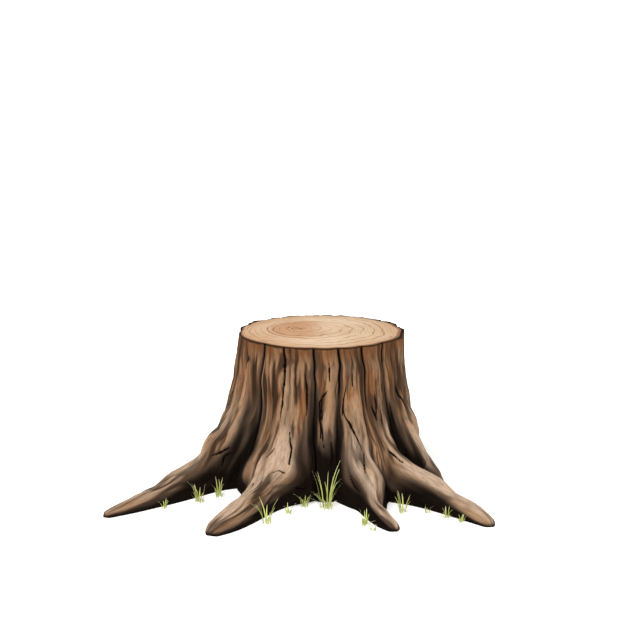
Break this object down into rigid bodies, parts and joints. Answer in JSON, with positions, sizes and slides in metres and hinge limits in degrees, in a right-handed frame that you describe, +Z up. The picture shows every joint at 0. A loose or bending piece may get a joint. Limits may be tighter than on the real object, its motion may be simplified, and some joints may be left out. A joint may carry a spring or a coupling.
{
  "type": "tree stump",
  "caption": "Sawn tree stump with a flat ringed cut face, fissured bark, spreading surface roots and tufts of grass at its foot; stands on the ground.",
  "frame": {"origin": "on the trunk's axis at ground level", "axes": "+Z up, out of the cut face; +X along the roots' widest spread; the front, with the most roots, faces -Y"},
  "size_m": [0.8896, 0.8276, 0.37],
  "materials": {
    "bark": "rough fissured bark, matte",
    "sapwood": "sawn end grain, matte",
    "heartwood": "sawn end grain, matte",
    "pith": "dark and porous, matte",
    "root_wood": "bare wood, matte",
    "grass": "living grass blades, slight sheen"
  },
  "bodies": {
    "root": {"bark_back_left_panel": "bark", "bark_back_left_root": "bark", "bark_back_right_panel": "bark", "bark_back_right_root": "bark", "bark_back_root": "bark", "bark_front_left_root": "bark", "bark_front_panel": "bark", "bark_front_right_root": "bark", "bark_left_panel": "bark", "bark_left_root": "bark", "bark_rear_right_root": "bark", "bark_right_panel": "bark", "bark_right_rear_panel": "bark", "bark_right_root": "bark", "grass_tuft_back": "grass", "grass_tuft_back_left": "grass", "grass_tuft_back_right": "grass", "grass_tuft_front": "grass", "grass_tuft_front_left": "grass", "grass_tuft_front_left_inner": "grass", "grass_tuft_front_left_small": "grass", "grass_tuft_front_right": "grass", "grass_tuft_front_right_small": "grass", "grass_tuft_left": "grass", "grass_tuft_left_inner": "grass", "grass_tuft_left_outer": "grass", "grass_tuft_rear_left": "grass", "grass_tuft_rear_right": "grass", "grass_tuft_right": "grass", "grass_tuft_right_fork": "grass", "grass_tuft_right_outer": "grass", "grass_tuft_right_tip": "grass", "heartwood": "heartwood", "pith": "pith", "sapwood": "sapwood", "wood_back_left_root": "root_wood", "wood_back_right_root": "root_wood", "wood_back_root": "root_wood", "wood_front_left_root": "root_wood", "wood_front_right_root": "root_wood", "wood_left_root": "root_wood", "wood_rear_right_root": "root_wood", "wood_right_root": "root_wood"}
  },
  "joints": []
}
